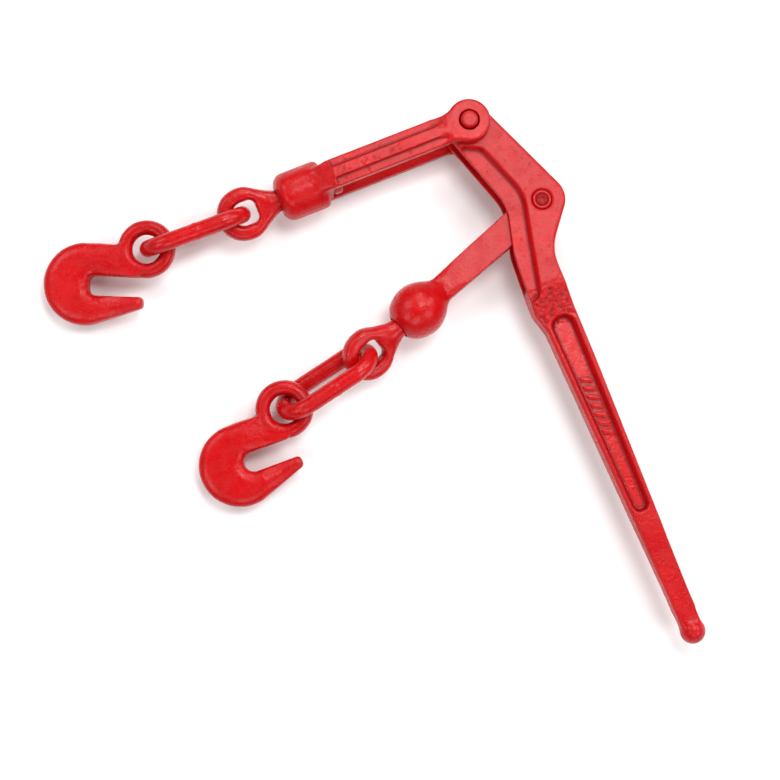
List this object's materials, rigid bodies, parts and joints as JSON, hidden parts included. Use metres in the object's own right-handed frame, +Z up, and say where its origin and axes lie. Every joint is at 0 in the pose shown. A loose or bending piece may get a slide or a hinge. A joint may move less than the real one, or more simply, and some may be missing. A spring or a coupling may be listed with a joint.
{
  "type": "lever load binder",
  "caption": "Red lever load binder lying open, with a forked lever, a ribbed yoke, a toggle bar, and a grab hook on a swivel and a short chain at each end.",
  "frame": {"origin": "under the middle of the footprint, on the surface the binder lies on", "axes": "+X along the longer side of the footprint, away from the hooks; +Y towards the yoke pivot; +Z up, along both pivots"},
  "size_m": [0.3515, 0.2892, 0.038],
  "materials": {
    "red_enamel": "glossy red enamel over a forged steel surface"
  },
  "bodies": {
    "lever": {"lever_handle": "red_enamel", "link_rivet": "red_enamel"},
    "yoke": {"yoke": "red_enamel"},
    "bar": {"toggle_bar": "red_enamel"},
    "upper_eye": {"upper_swivel_eye": "red_enamel"},
    "upper_link": {"upper_chain_link": "red_enamel"},
    "upper_hook": {"upper_grab_hook": "red_enamel"},
    "lower_eye": {"lower_swivel_eye": "red_enamel"},
    "lower_link": {"lower_chain_link": "red_enamel"},
    "lower_hook": {"lower_grab_hook": "red_enamel"}
  },
  "joints": [
    {"name": "yoke_pivot", "type": "hinge", "parent": "lever", "child": "yoke", "pos_m": [0.04951, 0.13243, 0.019], "axis": [0, 0, -1], "range_deg": [-15, 241]},
    {"name": "bar_pivot", "type": "hinge", "parent": "lever", "child": "bar", "pos_m": [0.08911, 0.09143, 0.019], "axis": [0, 0, -1], "range_deg": [-5.5, 88.1]},
    {"name": "upper_swivel", "type": "hinge", "parent": "yoke", "child": "upper_eye", "pos_m": [-0.06967, 0.08306, 0.019], "axis": [-0.9239, -0.3827, 0], "continuous": true},
    {"name": "upper_link_hinge", "type": "hinge", "parent": "upper_eye", "child": "upper_link", "pos_m": [-0.07041, 0.08276, 0.019], "axis": [0.073, -0.1763, 0.9816], "range_deg": [-30, 30]},
    {"name": "upper_hook_hinge", "type": "hinge", "parent": "upper_link", "child": "upper_hook", "pos_m": [-0.12103, 0.06383, 0.01649], "axis": [-0.1466, -0.0796, 0.986], "range_deg": [-35, 35]},
    {"name": "lower_swivel", "type": "hinge", "parent": "bar", "child": "lower_eye", "pos_m": [-0.00304, 0.00846, 0.019], "axis": [-0.7431, -0.6691, 0], "continuous": true},
    {"name": "lower_link_hinge", "type": "hinge", "parent": "lower_eye", "child": "lower_link", "pos_m": [-0.00297, 0.00852, 0.019], "axis": [0.3396, -0.3772, 0.8616], "range_deg": [-30, 30]},
    {"name": "lower_hook_hinge", "type": "hinge", "parent": "lower_link", "child": "lower_hook", "pos_m": [-0.0474, -0.02089, 0.01417], "axis": [-0.0759, -0.0954, 0.9925], "range_deg": [-35, 35]}
  ],
  "couplings": [
    {"joint": "bar_pivot", "follows": "yoke_pivot", "ratio": 0.36515}
  ]
}
